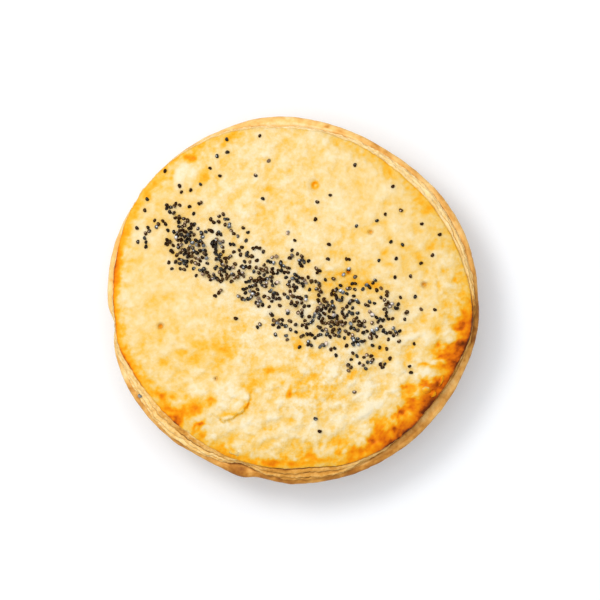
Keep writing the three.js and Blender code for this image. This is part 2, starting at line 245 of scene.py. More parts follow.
BAKE_PATCHES = [  # x, y, half length, half width, turn in degrees, share added
    (42.5, -16.5, 3.4, 2.6, 70, 0.12),
    (42, -8.6, 3.4, 1.8, 80, 0.22),
    (43.4, 0.5, 3, 1.8, 90, 0.08),
    (29, -31.6, 3, 1.8, 40, 0.14),
    (40.8, -25, 2.4, 1.6, -35, 0.1),
    (33.3, -31.6, 3, 2.4, -60, 0.08),
    (39.8, -29.3, 1.4, 1.2, 0, 0.12),
    (26.1, -38.2, 3, 1.6, 30, 0.06),
    (24.8, -42.5, 3.4, 1.4, 20, 0.08),
    (31, -35.6, 2.4, 1.6, 40, 0.12),
    (40, -21.2, 5, 1.2, 0, -0.34),
    (13.4, -44.8, 1.2, 0.8, 0, 0.2),
    (8, -47.1, 2, 0.9, 20, 0.22),
    (1.5, -48.6, 2.6, 0.9, 0, 0.16),
    (-6.6, -47.9, 2.4, 1.2, 0, 0.22),
    (-9.5, -39.6, 3, 1.2, 30, 0.12),
    (-18, -45, 2, 1, -20, 0.2),
    (-26.9, -39.7, 1, 0.8, 0, 0.22),
    (-34.5, -35.7, 1.8, 1.4, -45, 0.22),
    (-30.2, -31.9, 5, 2.6, 25, 0.42),
    (-24.3, -29.7, 1.2, 0.8, 0, 0.22),
    (-38.6, -27.6, 2.6, 1.7, -50, 0.22),
    (-15.4, -25.9, 1.4, 0.7, 60, 0.2),
    # the next three run along the torn leaves' lifted edges: partly browning, partly painted shadow under
    # them
    (-18.5, -33.6, 2.4, 0.5, 8, 0.3),
    (-14.6, -31.6, 2.2, 0.45, 35, 0.25),
    (-27.3, -37, 2, 0.4, 52, 0.16),
    (-14.2, -37, 6, 2.4, -15, -0.18),
    (-19, -28.5, 4.4, 2.8, 20, -0.12),
    (-21.8, -14, 8, 4, 20, 0.18),
    (9.5, 3.4, 7.5, 3.6, 10, 0.17),
    (33, 13, 9, 3.4, -30, 0.08),
    (-30.3, 41.6, 2.2, 0.8, -15, 0.26),
    (-26.7, 36.4, 2.6, 1.3, 45, 0.2),
    (-35.5, 35.9, 3, 0.5, 85, 0.16),
    (-31.5, 38, 3.4, 2.7, 0, -0.24),
    (-8.4, -1.8, 5, 3, 20, -0.12),
    (22, -27, 9, 6, -30, -0.08),
    (-19, 14.5, 15, 7, -29, -0.1),
    (1, 0.5, 11, 6, -29, -0.12),
    (18, -8.5, 10, 6, -29, -0.08),
    (-0.5, -20, 6, 4.4, 80, 0.1),
    (24, -40.2, 3, 2, 20, 0.06),
    (40, -23.8, 3, 2.4, 40, 0.1),
    (-23.7, -24, 3.4, 2.4, 30, -0.1),
    (8, 23.8, 5, 4, 0, -0.1),
    (-7.8, 39.7, 5, 3.6, 20, -0.08),
    (40, 23.8, 5, 3, 120, 0.09),
    (-15, 46, 10, 3.4, 12, 0.05),
    (-24, 42, 8, 3, 30, 0.06),
    (-36.5, 26.5, 6, 5, 0, 0.08),
    (-44, 19.7, 6, 5, 0, -0.06),
    (-40, -22.5, 8, 5, 118, 0.06),
    (-2, -45, 9, 3, 0, 0.05),
    (14.5, -43, 6, 3, 20, 0.05),
    (38.5, -17.4, 4, 4, 0, 0.08),
    (34.5, -25.2, 3.6, 3, 0, -0.08),
    (-1, -26.6, 1.3, 0.6, 82, 0.36),
    (-2.9, -24.4, 0.9, 0.7, 70, 0.25),
    (-12.3, -25.7, 1.8, 0.9, 45, 0.25),
    (-5.6, -20.8, 2.2, 0.8, -5, 0.22),
    (29.8, -35.8, 2.2, 1.8, 40, 0.34),
    (20.5, -42.8, 3, 1.5, 25, 0.14),
    (17.5, -22, 1.5, 1.2, 0, 0.16),
    (29.8, -25.7, 6, 0.6, 5, 0.16),
    (32.4, -25.6, 1.6, 0.7, 5, 0.14),
    (9.4, -27.4, 2.4, 1.8, 30, 0.18),
    (8, -25.2, 4.6, 0.8, 0, 0.12),
    (13.7, -29.1, 1.1, 1, 0, 0.12),
    (20, -33.6, 5, 3, 30, -0.14),
    (23.4, -22.8, 3, 1.2, 38, -0.12),
    (10, -35.4, 4.6, 2.2, 20, -0.12),
    (5.7, -41.6, 1.5, 0.9, 0, 0.14),
    (15.6, -41.4, 1.6, 0.6, 85, 0.14),
    (34.3, -17.2, 2, 1.4, 40, 0.12),
    (37.6, -19.3, 1.6, 0.6, 10, 0.14),
    (36.7, -34, 3.6, 0.9, 42, 0.05),
    (48.2, -10.2, 3.2, 1.8, 77, 0.17),
    (50, -5.5, 3, 1.1, 85, 0.12),
    (-39, 2, 7, 9, 0, 0.05),
    (6, 34.2, 0.7, 0.5, 20, 0.2),
    (13, 39, 4, 3.4, 60, -0.09),
    (-34, 2, 4, 3.4, 80, -0.09),
    (34.5, -3.5, 4, 3, 100, -0.09),
    (34, -13, 3, 2.4, 60, -0.1),
    (24, -34.4, 3.4, 2.4, 40, -0.1),
    (24, -24, 3.4, 2.2, 30, -0.08),
    (-12.5, -12.5, 4.4, 3.2, 60, -0.09),
    (-2.5, -5.5, 4.6, 3, 90, -0.08),
    (29.5, 8, 3.6, 3, 0, 0.08),
    (29, -13.6, 3, 2.6, 0, 0.08),
]
PATCH_RAGGED = (0.5, 0.4)  # how far lumps of two sizes move a patch's outline
PATCH_EDGE = 1.5  # above 1, a patch is evener inside and falls off faster at its edge
CALM_PLACES = [  # x, y, spread, and how much of its fine mottling the skin lacks there
    (33, 22, 14, 0.6),
    (-41, 6, 13, 0.4),
    (12, 42, 10, 0.25),
    (27, 33, 8, 0.3),
    (-38, -8, 10, 0.25),
    (-28, -19, 9, 0.25),
    (-38, 25, 8, 0.3),
    (14, -19, 7, -0.6),
    (5, -29, 6, -0.5),
    (-11, -8, 7, -0.4),
]
LEAF_BAKES = {  # how far each part of a leaf baked, and how far its browner and paler places differ; the gap's higher value is partly painted shade
    "skin": (0, 0.12),
    "crease": (0.28, 0.25),
    "face": (0.28, 0.1),
    "upper": (0.22, 0.12),
    "lower": (0.22, 0.2),
    "gap": (0.3, 0.12),
}
LEAF_SHADE_WIDTH = 4  # of those places
GAP_OPEN_SHADE = 0.3  # a gap is painted darker as shade where the leaves stand apart,
GAP_DEPTH_SHADE = 0.3  # and for each millimetre of its depth
CUT_SHARE = 0.2  # share of the skin's browning that the cut edge has besides its own
# the narrow lobe at 353.5 degrees is partly painted shade, where the lid shades the cut edge and the rim
CUT_BAKE_AND_SHADE = [(272, 14, 0.3), (318, 13, 0.25), (345, 20, 0.16), (353.5, 4, 0.36), (228, 14, 0.06)]
CUT_OPEN = 0.25  # how far the leaves stand apart all round, from 0 where they crumble together to 1,
CUT_OPENS = [(275, 18, 0.65), (18, 14, 0.35), (345, 12, 0.4)]  # and where they stand further apart

# Relief of the case
SWELL_WIDTH = 11
SWELL_HEIGHT = 0.1
SWELL_MORE = 0.14  # added on the rim
GRAIN_WIDTH = 2.6
GRAIN_HEIGHT = 0.05  # twice that on the rim
PIT_WIDTH = 1.9
PIT_DEPTH = 0.22
PITTED = (0.45, 0.9)  # lumps at which a pit starts, and at which it is deepest
BASE_HOLLOW = 0.2  # how far the base clears the floor between the lumps that it stands on
RIM_STEP = 0.12  # least step between the rings of the rim's upper face
RIM_GRAIN = 0.2  # height of the grain on that face,
RIM_FINE = (1.1, 0.12)  # and width and height of its finer grain

# How far the case is baked
WALL_BAKE = 0.4
WALL_SHADE = (8, 0.1)  # width of the browner and paler places, how far they differ
LOW_EDGE = (2.5, 0.14)  # spread of the browner lower edge, share added
BASE_BAKE = 0.1  # added in the middle of the base
# pits are painted this much darker, as shade in them
PIT_PAINTED_SHADE = 0.2
SEAT_BAKE = 0.5
RIM_PALER = 0.12
RIM_TOP_BAKE = 0.22
RIM_TOP_RINGS = [  # distance past the lid's foot, drop, share browner (on the two rings at the foot, painted shade under the lid's edge), and painted shade added where the foot is most shaded
    (2.2, 0, 0, 0),
    (1.6, 0, -0.03, 0),
    (1.1, 0, -0.07, 0),
    (0.7, 0, -0.09, 0),
    (0.25, 0.1, 0.04, 0.2),
    (-0.4, 0.1, 0.1, 0.3),
]
FOOT_PAINTED_SHADE = [(240, 12, 0.5), (275, 20, 0.8), (318, 14, 0.9), (345, 14, 0.6)]  # painted shade along the lid's foot
RIM_SINGED_AND_SHADED = [(352, 7, 0.06)]  # where the rim darkens further on its right side: partly browning, partly painted shade from the lid
RIM_BAKE_AND_SHADE = [  # place and spread in degrees, share added; the lobes at 278 and 352 degrees, on the side away from the lamps, are partly painted shade
    (52, 20, 0.08),
    (180, 12, -0.1),
    (225, 18, 0.14),
    (217, 9, 0.12),
    (253, 3, 0.36),
    (278, 20, 0.34),
    (301, 7, 0.1),
    (315, 16, 0.12),
    (352, 18, 0.33),
    (355, 5, 0.04),
]
CASE_SLOWER = 0.16  # the case, which has no egg wash, stops browning this much sooner
RIM_MOTTLE = [(5, 0.2), (1.5, 0.16)]  # width of the browner and paler places on the rim, how far they differ

# Poppy seeds, strewn by the same rule as on the solid lid
SEED_LENGTH = 1.26
BAND_TURN = -29  # degrees
PINCHES = [  # x, y, spread along and across the band, count, share that sticks to another seed
    (-30.5, 16.4, 5.2, 4.4, 96, 0.2),
    (-15, 10, 8, 4.6, 118, 0.2),
    (1, 0.6, 7, 4.8, 96, 0.2),
    (16, -7.5, 7.5, 4.8, 124, 0.2),
    (24, -7.6, 4, 3.4, 24, 0.2),
    (8.8, 7, 9, 2, 24, 0),
    (-16.5, 19.5, 8, 3, 18, 0),
    (22, -18.1, 3.2, 1.3, 14, 0.2),
    (-25, 7.2, 3, 1.5, 24, 0.3),
    (5.4, -9.6, 3.4, 1.5, 20, 0.3),
    (-31.3, 20, 1.6, 1.8, 60, 0.4),
    (-30.2, 14.8, 2, 1.8, 56, 0.4),
    (-25.2, 15.3, 2, 2, 28, 0.4),
    (-19.5, 8.3, 2, 1.6, 34, 0.4),
    (-8.6, 5.6, 2, 3, 50, 0.4),
    (-11.4, 0.4, 2.2, 1.2, 14, 0.3),
    (9.3, -3.7, 2, 3.4, 44, 0.4),
    (17, -8, 3, 2.2, 22, 0.4),
    (21, 4.2, 6.5, 2.6, 20, 0),
    (-2, -0.2, 3.6, 2.4, 14, 0),
    (-4.2, -6.2, 4.4, 1.2, 10, 0.2),
    (28.5, -3.5, 2.6, 3.6, 10, 0),
    (6, 9.4, 4.4, 1.4, 9, 0.2),
    (1.5, -9.8, 2.6, 1.2, 6, 0.2),
]
STRAYS = [  # x, y of seeds that fell clear of the band
    (-19.6, 47.2), (-9.9, 48.2), (-22.4, 42.2), (-19.4, 43.3), (-7.3, 40.8), (-24.5, 38.6),
    (-21.6, 36.4), (-11.1, 36.5), (-27.3, 33.9), (-33.5, 33.4), (-30.2, 32.2), (-30.5, 27.3),
    (-9, 29.6), (7, 28.7), (10.8, 30.7), (6.4, 23.6), (18.1, 39.6), (29.2, 33.3), (31.6, 26.3),
    (24.5, 23.2), (18.5, 21.6), (27, 25.1), (37.7, 22.3), (43, 19.2), (28.6, 17), (32, 16.1),
    (30.1, 12.1), (40.8, 13.1), (37.5, 10.7), (10.4, 16.2), (10.1, 11.9), (16.3, 11.8), (-1.6, 19.6),
    (0.4, 17.4), (25.1, 11.5), (34.4, 6.9), (29.8, 6.6), (35.7, 0.9), (41.5, -2.9), (37.5, -2.8),
    (-43, 29.6), (-43.7, 26.3), (-46, 21.1), (-45.7, 17), (-43.4, 15.6), (17.9, -27.1), (6.5, -34.9),
    (7.7, -38.6), (34.5, -21.4), (-23, 1.1), (1.8, -13.9), (-43.7, 18.1), (-43.3, 16.9), (-42.8, 21.2),
    (-40.8, 23.3), (-39.7, 22.2), (-38.4, 23.1), (-37.3, 26.9), (-32.9, 31.6), (-37.8, 37.9),
]
EDGE_STRAYS = [(-45.4, -28.4, 29.5)]  # x, y and height of those on the cut edge
STUCK_REACH = 0.98  # lengths from a seed to one that sticks to it
SEED_CLEARANCE = 0.8  # lengths within which a seed lands on another
SEED_SIZE_SPREAD = 0.1
SEED_WIDTH = 0.84  # for a length of 1, as the next five
SEED_HEIGHT = 0.76
SEED_NOTCH = 0.09  # depth of the dent in its hollow side
SEED_NOTCH_REACH = 0.2
SEED_BEND = 0.24  # how far its ends bend round
SEED_SHIFT = 0.03  # puts the bent seed back over its middle
SEED_SUNK = 0.16  # share of its height that lies in the pastry
SEED_EDGE_MARGIN = 3  # no seed of the band falls nearer the lid's edge
SEED_DRAW = 2145
DRAW_TIMES = 48271
DRAW_OVER = 2147483647
PILE_RISE = 0.56  # a piled seed lies this share of its length above those under it
SEED_SIDES = 12
SEED_RINGS = 7
SEED_TONES = [(1.2, 4.6), (1.4, 2.6)]  # shapes the spread of tones: dark below, paler among the piled
SEED_PAINTED_HIGHLIGHT = 1  # most that the painted highlight on a seed's upper side lightens it
HIGHLIGHT_FACES = (-0.3, 0.3, 1)  # the way that the painted highlight faces, up and towards the lamps,
HIGHLIGHT_STRAYS = 0.35  # and how far that strays
HIGHLIGHT_TIGHT = 10  # higher makes it a smaller spot
SEED_ROLL = 0.6  # radians, the spread of a seed's turn about its length,
SEED_TIP = (0.16, 0.5)  # and of its tip, where it lies flat and where it is piled

# Flakes that have come away at the edge
FLAKES = [  # x, y, half length, half width, heading of the free edge in degrees, lift
    (39, -26.7, 1.5, 1, 88, 0.5),
    (40.9, -27.6, 1.1, 0.9, -35, 0.55),
    (43.4, -23.8, 1.8, 0.7, -25, 0.35),
    (-17.5, -45, 1.6, 0.8, -110, 0.4),
]
FLAKE_SIDES = 9
FLAKE_THICK = 0.12
FLAKE_RAGGED = 0.16
FLAKE_PAINTED_HIGHLIGHT = 0.4  # painted highlight at its free edge, where it catches the light,
FLAKE_HIGHLIGHT_POWER = 3  # to which this keeps it
FLAKE_DRAW = 4

# Meshes
LID_CELLS = 120  # from the middle of the lid to its edge
CASE_SEGMENTS = 480
BASE_RINGS = 34
CORNER_RINGS = 9
WALL_RINGS = 34
LEDGE_RINGS = 5
LIP_RINGS = 13
BASE_MIDDLE = 1.2  # radius of the base's first ring
WALL_FACES = (0.93, -0.37)  # outwards and upwards
UNDERSIDE = (0.8, 0.4)  # shares of the lid's radius at which its hidden underside has a ring,
SEAT = (0.9, 0.8, 0.4)  # and at which the case has one under it

# Patterns of lumps; 0 to 3 are the lid's own
NOISE_APART = 37.3  # keeps one pattern away from the next
OCTAVE_FADE = 1.0
OCTAVE_FINER = 2.0
CREASE_FIELD = 4
TORN_FIELD = 5
FINGER_FIELD = 6
EDGE_FIELD = 8
LEAF_FIELD = 9
WAVE_FIELD = 10
GAP_FIELD = 11
SHADE_FIELD = 12
CRUMB_FIELD = 13
SWELL_FIELD = 14
GRAIN_FIELD = 15
PIT_FIELD = 16
WALL_FIELD = 17
RIM_FIELD = 19
MOTTLE_FIELD = 20

# Materials
BROWN_STEADIES = 0.2  # share of the mottling left on fully browned pastry
GLOSS_BAKES = (0.2, 0.8)  # how far pastry is baked where its roughness starts and ends its change
SEED_KIND_SIZE = 2.6  # places where seeds are of one kind
SEED_KINDS = (0.4, 0.6)  # noise below which they are brown, and above which they are slate
SEED_PITS = (0.16, 0.03)  # spacing and depth
MIX_FACTOR, MIX_FIRST, MIX_SECOND, MIX_RESULT = 0, 6, 7, 2  # the mix node's sockets for colours

# Photograph
FRAME_PIXELS = 600
PIXELS_PER_MM = 3.373  # at the rim
PIE_PIXEL = (293.5, 299.7)  # where the middle of the pie is
CAMERA_DISTANCE = 900
SENSOR_WIDTH = 36

# Studio: a pale floor, an even and slightly cool surround, and two warm lamps from the upper left
FLOOR_COLOUR = "#E7EEF6"
FLOOR_HALF = 1.5  # metres
FLOOR_BELOW = 0.05  # keeps the floor clear of the base
SURROUND = 0.72  # strength of the light from all round
SURROUND_COLOUR = (0.97, 1, 1.03, 1)
LIGHT_COLOUR = (1.09, 1, 0.91)
LIGHT_DISTANCE = 0.75  # metres
LIGHTS = [  # name, bearing and height in degrees, size in metres, power in watts
    ("key", 135, 77, 0.6, 2.74),
    ("spark", 140, 68, 0.18, 1.22),
]


def linear(hex_colour):
    """A linear RGBA colour from an sRGB hex value, by the standard's own curve."""
    parts = [int(hex_colour[i:i + 2], 16) / 255 for i in (1, 3, 5)]
    return [c / 12.92 if c <= 0.04045 else ((c + 0.055) / 1.055) ** 2.4 for c in parts] + [1.0]


def per_metre(size):
    """Scale of a pattern whose cells are size millimetres across."""
    return 1 / (size * MM)


def bell(away):
    """1 where away is 0, with a smooth fall to both sides."""
    return np.exp(-0.5 * away ** 2)


def ease(low, high, value):
    """0 below low, 1 above high and smooth between."""
    t = np.clip((value - low) / (high - low), 0, 1)
    return t * t * (3 - 2 * t)


def wrapped(degrees):
    """The same turn, between -180 and 180 degrees."""
    return (degrees + 180) % 360 - 180


def swung(x, y, degrees):
    """How far points lie along and across a heading."""
    c = math.cos(math.radians(degrees))
    s = math.sin(math.radians(degrees))
    return x * c + y * s, y * c - x * s


def lobes(angle, rows):
    """Sum of smooth bumps round the pie, each row a place and a spread in degrees and a height."""
    at, spread, by = np.array(rows, float).T
    away = wrapped(np.degrees(angle)[..., None] - at)
    return (by * bell(away / spread)).sum(-1)


def spots(x, y, rows):
    """Sum of round bumps, each row x, y, spread and height."""
    at_x, at_y, spread, height = np.array(rows, float).T
    away = np.hypot(x[..., None] - at_x, y[..., None] - at_y) / spread
    return (height * bell(away)).sum(-1)


def lumps(points, size, pattern, octaves=2):
    """Smooth noise, about -1 to 1, whose lumps are size millimetres across."""
    places = points / size + NOISE_APART * pattern
    flat = [noise.fractal(p, OCTAVE_FADE, OCTAVE_FINER, octaves) for p in places.reshape(-1, 3).tolist()]
    return np.array(flat).reshape(places.shape[:-1])


def layered(points, rows, pattern):
    """Sum of lumps of several sizes, each row a width and a height."""
    return sum(height * lumps(points, width, pattern) for width, height in rows)


def rim_radius(angle):
    return RIM_RADIUS + lobes(angle, RIM_DENTS)


def lid_radius(angle):
    offset = LID_OFFSET[0] * np.cos(angle) + LID_OFFSET[1] * np.sin(angle)
    oval = LID_OVAL * np.cos(2 * (angle - math.radians(LID_LONG_AXIS)))
    return LID_RADIUS + offset + oval + lobes(angle, LID_DENTS)


def lid_flare(angle):
    return np.maximum(0, EDGE_FLARE + lobes(angle, FLARE_CHANGES))


def seat_height(share):
    """The case's upper face, which the filling lifts in the middle."""
    return CASE_HEIGHT + CROWN_HEIGHT * (1 - np.minimum(share, 1) ** CROWN_POWER)


def torn_lift(x, y, points):
    """Height of the torn leaves whose edges curl up, and the line of painted shadow under those edges."""
    lift = np.zeros_like(x)
    line = np.zeros_like(x)
    ragged = layered(points, TORN_RAGGED, TORN_FIELD)
    for at_x, at_y, radius, heading, height in TORN_LEAVES:
        away = np.hypot(x - at_x, y - at_y) / radius + ragged
        off = wrapped(np.degrees(np.arctan2(y - at_y, x - at_x)) - heading)
        opened = 1 - ease(TORN_FULL, 1, np.abs(off) / TORN_OPENING)
        lift += height * opened * np.maximum(0, away) ** 2 * (away < 1)
        line += opened * bell((away - TORN_LINE) * radius / TORN_LINE_WIDTH)
    return lift, line


def docking(x, y):
    """Depth of the holes that were pricked in the lid, and how far their lips browned."""
    hole = np.zeros_like(x)
    lip = np.zeros_like(x)
    for at_x, at_y, radius, by, depth in DOCKING_HOLES:
        away = np.hypot(x - at_x, y - at_y)
        hole += depth * bell(away / (radius + DOCKING_LIP))
        lip += by * bell((away - radius) / DOCKING_LIP)
    return hole, lip


def creases(x, y):
    """The crumpled skin: below 0 in hollows, above 0 on crests, and as strong as it shows at each place."""
    along, across = swung(x, y, CREASE_HEADING)
    places = np.stack([along / (CREASE_WIDTH * CREASE_STRETCH), across / CREASE_WIDTH, 0 * x], -1)
    crest = np.tanh(CREASE_STEEP * lumps(places, 1, CREASE_FIELD, CREASE_OCTAVES))
    return (CREASED + spots(x, y, CREASED_PLACES)) * crest


def edge_browning(angle, inside, puffs, folds):
    """How far the border of the skin browned, in ragged streaks that reach inwards."""
    polar = ring_points(angle, RIM_RADIUS / FINGER_WIDTH, inside / FINGER_LENGTH)
    streaks = lumps(polar, 1, FINGER_FIELD, FINGER_OCTAVES)
    width = EDGE_BAKE_WIDTH + lobes(angle, EDGE_BAKE_WIDER)
    inwards = np.maximum(0, inside) / width * np.maximum(FINGER_LEAST, 1 + FINGER_VARIES * streaks)
    coarse, fine, folded = EDGE_BAKE_RAGGED
    inwards += ease(0, 1, inwards) * (coarse * puffs[2] + fine * puffs[3] + folded * folds)
    return lobes(angle, EDGE_BAKE) * (1 - ease(*BROWNED_FADES, inwards))


def browned_patches(x, y, puffs):
    """How much further than the rest the skin baked at single places."""
    coarse, fine = PATCH_RAGGED
    ragged = 1 + coarse * puffs[1] + fine * puffs[2]
    bake = np.zeros_like(x)
    for at_x, at_y, long, wide, turn, by in BAKE_PATCHES:
        along, across = swung(x - at_x, y - at_y, turn)
        away = ((along / long) ** 2 + (across / wide) ** 2) * ragged
        bake += by * np.exp(-0.5 * np.maximum(0, away) ** PATCH_EDGE)
    return bake


def eased_bake(bake):
    """How far pastry is baked once browning slows down."""
    over = np.maximum(0, bake - BAKE_EASES)
    return np.minimum(bake, BAKE_EASES) + BAKE_MORE * np.tanh(over / BAKE_MORE)


def lid_top(x, y):
    """Height of the lid's top, and how far it is baked with painted shade added at its torn and cut edges,
    at points given in millimetres.
    """
    angle = np.arctan2(y, x)
    radius = np.hypot(x, y)
    edge = lid_radius(angle)
    share = radius / edge
    over_edge = np.maximum(0, share - (1 - LID_ROUND_SPAN)) / LID_ROUND_SPAN
    plain = seat_height(share) + LID_GAP + LID_THICKNESS - LID_ROUND * over_edge ** 2
    points = np.stack([x, y, 0 * x], -1)
    puffs = [lumps(points, width, k) for k, (width, _, _) in enumerate(LID_LUMPS)]
    folds = creases(x, y)
    hole, lip = docking(x, y)
    lift, line = torn_lift(x, y, points)
    relief = sum(rise * puff for (_, rise, _), puff in zip(LID_LUMPS, puffs)) + CREASE_HEIGHT * folds
    height = plain + spots(x, y, BLISTERS) + relief + lift - hole

    browned = edge_browning(angle, edge - radius, puffs, folds)
    paler = sum(by * puff for (_, _, by), puff in zip(LID_LUMPS, puffs)) + CREASE_PALER * folds
    bake = LID_BAKE + browned - paler * (1 - BROWNED_EVENS * browned)
    # the line under each lifted torn edge is painted shadow
    bake += browned_patches(x, y, puffs) + lip + TORN_PAINTED_SHADOW * line
    from_edge = np.maximum(0, edge - radius)
    singed = lobes(angle, SINGED) * np.exp(-from_edge / SINGED_WIDTH)
    # partly painted shade: the thin line where the skin overhangs the cut edge
    singed += lobes(angle, EDGE_LINE) * np.exp(-from_edge / EDGE_LINE_WIDTH)
    return height, eased_bake(bake) + singed


def mesh_object(name, points, faces, bake, materials, material_of=None):
    """A smooth mesh object; how far each point is baked (with the shade and highlights painted into it) and
    mottled are attributes for its materials.
    """
    mesh = bpy.data.meshes.new(name)
    mesh.from_pydata((points * MM).tolist(), [], faces)
    mottled = 1 - spots(points[:, 0], points[:, 1], CALM_PLACES)
    for attribute, values in (("bake", bake), ("mottled", mottled)):
        layer = mesh.attributes.new(attribute, "FLOAT", "POINT")
        layer.data.foreach_set("value", values.astype(np.float32))
    for material in materials:
        mesh.materials.append(material)
    if material_of is not None:
        mesh.polygons.foreach_set("material_index", material_of)
    mesh.shade_smooth()
    piece = bpy.data.objects.new(name, mesh)
    bpy.context.scene.collection.objects.link(piece)
    return piece


def ring_points(angle, radius, height):
    """A ring of points, from a radius and a height at each angle."""
    radius = np.broadcast_to(radius, angle.shape)
    height = np.broadcast_to(height, angle.shape)
    return np.stack([radius * np.cos(angle), radius * np.sin(angle), height], -1)


def ring_faces(first, rings, count):
    """Quads between rings of count points each, stored one after another."""
    here = first + np.arange(rings - 1)[:, None] * count + np.arange(count)
    beside = first + np.arange(rings - 1)[:, None] * count + (np.arange(count) + 1) % count
    return np.stack([here, beside, beside + count, here + count], -1).reshape(-1, 4).tolist()


def fan(first, count, middle):
    """Triangles between a ring of count points and the one in its middle."""
    return [[first + i, first + (i + 1) % count, middle] for i in range(count)]


def flipped(faces):
    return [face[::-1] for face in faces]


def disc_grid():
    """Angle, and share of the way to the edge, at the points of a square grid that is eased into a disc."""
    steps = np.arange(-LID_CELLS, LID_CELLS + 1) / LID_CELLS
    a, b = np.meshgrid(steps, steps)
    wide = np.abs(a) >= np.abs(b)
    reach = np.where(wide, a, b)
    safe = np.where(reach == 0, 1, reach)
    turn = np.where(wide, math.pi / 4 * b / safe, math.pi / 2 - math.pi / 4 * a / safe)
    across = reach * np.cos(turn)
    up = reach * np.sin(turn)
    return np.arctan2(up, across), np.hypot(across, up)


def pastry_lid(materials):
    """The lid: an even grid over its top, leaves down its cut edge, and a plain underside."""
    angle, share = disc_grid()
    rough = layered(ring_points(angle, LID_RADIUS, 0), LEAF_RAGGED, EDGE_FIELD)
    radius = share * (lid_radius(angle) + EDGE_RAGGED * rough * share ** EDGE_RAGGED_POWER)
    x = radius * np.cos(angle)
    y = radius * np.sin(angle)
    height, bake = lid_top(x, y)
    top = np.stack([x, y, height], -1).reshape(-1, 3)
    grid = np.arange(len(top)).reshape(share.shape)
    corners = [grid[:-1, :-1], grid[:-1, 1:], grid[1:, 1:], grid[1:, :-1]]
    top_faces = np.stack(corners, -1).reshape(-1, 4).tolist()

    rim = np.concatenate([grid[0, :-1], grid[:-1, -1], grid[-1, :0:-1], grid[:0:-1, 0]])
    rim_angle = angle.reshape(-1)[rim]
    rings, ring_bake = leaf_rings(rim_angle, top[rim], bake.reshape(-1)[rim])
    for under in UNDERSIDE:
        rings.append(ring_points(rim_angle, under * lid_radius(rim_angle), seat_height(under) + LID_GAP))
        ring_bake.append(np.full(len(rim), LID_BAKE))
    first = len(top)
    count = len(rim)
    below = first + np.arange(count)
    joins = np.stack([np.roll(rim, -1), rim, below, np.roll(below, -1)], -1).tolist()
    middle = first + len(rings) * count
    closing = ring_faces(first, len(rings), count) + fan(middle - count, count, middle)
    faces = top_faces + joins + flipped(closing)
    points = np.concatenate([top, *rings, [[0, 0, seat_height(0) + LID_GAP]]])
    bakes = np.concatenate([bake.reshape(-1), *ring_bake, [LID_BAKE]])
    is_cut = np.arange(len(faces)) >= len(top_faces)
    return mesh_object("puff_pastry_lid", points, faces, bakes, materials, is_cut.astype(np.int32))


def leaf_bake(part, browning, shade):
    """How far one part of a leaf is baked."""
    plain, differs = LEAF_BAKES[part]
    return plain + browning + differs * shade


def leaf_rings(angle, rim_points, rim_bake):
    """Rings down the cut edge; a leaf has a crease and a gap under it painted darker as shade, a crumbly
    face and two edges.
    """
    rings, bakes = [], []
    foot = CASE_HEIGHT + LID_GAP
    rim_reach = np.hypot(rim_points[:, 0], rim_points[:, 1])
    top_height = rim_points[:, 2]
    flare = lid_flare(angle)
    browning = CUT_SHARE * lobes(angle, EDGE_BAKE) + lobes(angle, CUT_BAKE_AND_SHADE)
    opened = CUT_OPEN + lobes(angle, CUT_OPENS)
    sloped = CRUMBLED_SLOPE * ease(0, CRUMBLED_FULLY, 1 - opened)
    lower = top_height
    reach = rim_reach
    passed = 0
    for leaf, (step, depth, crease_shade) in enumerate(LEAVES):
        around = ring_points(angle, LID_RADIUS, leaf * LEAF_APART)
        rough = layered(around, LEAF_RAGGED, LEAF_FIELD)
        shade = lumps(around, LEAF_SHADE_WIDTH, SHADE_FIELD)
        gap = opened * LEAF_GAP * ease(*GAP_OPENS, lumps(around, LEAF_GAP_WIDTH, GAP_FIELD))
        # painted shadow of a crack under the skin's edge
        crack_shadow = lobes(angle, PAINTED_CRACK_SHADOWS[leaf]) if leaf in PAINTED_CRACK_SHADOWS else 0
        curled = lobes(angle, CURLED[leaf]) if leaf in CURLED else 0
        passed += depth
        wave = LEAF_WAVE * depth * lumps(around, LEAF_WAVE_WIDTH, WAVE_FIELD) * math.sin(math.pi * passed)
        above = reach
        upper = lower
        reach = rim_reach + flare * step + rough * (1 if leaf else SKIN_RAGGED)
        lower = top_height + (foot - top_height) * (passed + wave)
        thick = upper - lower
        nose_bake = leaf_bake("skin", rim_bake, shade)
        if leaf:
            nose_bake = leaf_bake("upper", browning + curled, shade)
            crease = np.minimum(above + LEAF_CREASE, reach - LEAST_FACE)
            rings.append(ring_points(angle, crease, upper - LEAF_DIP * thick))
            # painted shade in the crease beside the leaf above, darker where the leaves stand apart
            bakes.append(leaf_bake("crease", browning, shade) + opened * crease_shade + crack_shadow)
            for share in FACE_RINGS:
                slope = LEAF_DIP + (LEAF_SLOPE + sloped) * share
                face = ring_points(angle, crease + share * (reach - crease), upper - slope * thick)
                crumb = lumps(face, CRUMB_WIDTH, CRUMB_FIELD)
                along = ring_points(angle, LID_RADIUS / LEAF_STREAK, leaf * LEAF_APART + share)
                crumb += opened * (lumps(along, CRUMB_WIDTH, CRUMB_FIELD) - crumb)
                face[:, 2] += CRUMB_HEIGHT * (1 - CRUMB_FLATTER * opened) * crumb
                rings.append(face)
                bakes.append(leaf_bake("face", browning + curled, shade) - CRUMB_PALER * crumb)
        rings.append(ring_points(angle, reach + LEAF_NOSE, upper - (LEAF_EDGE + sloped) * thick))
        bakes.append(nose_bake)
        rings.append(ring_points(angle, reach, lower + LEAF_EDGE * thick))
        bakes.append(leaf_bake("lower", browning, shade))
        rings.append(ring_points(angle, reach - LEAF_UNDER - gap, np.maximum(lower, foot)))
        # painted shade in the gap under the leaf, darker where it is open and deep
        bakes.append(leaf_bake("gap", browning, shade) + GAP_OPEN_SHADE * opened + GAP_DEPTH_SHADE * gap)
    return rings, bakes


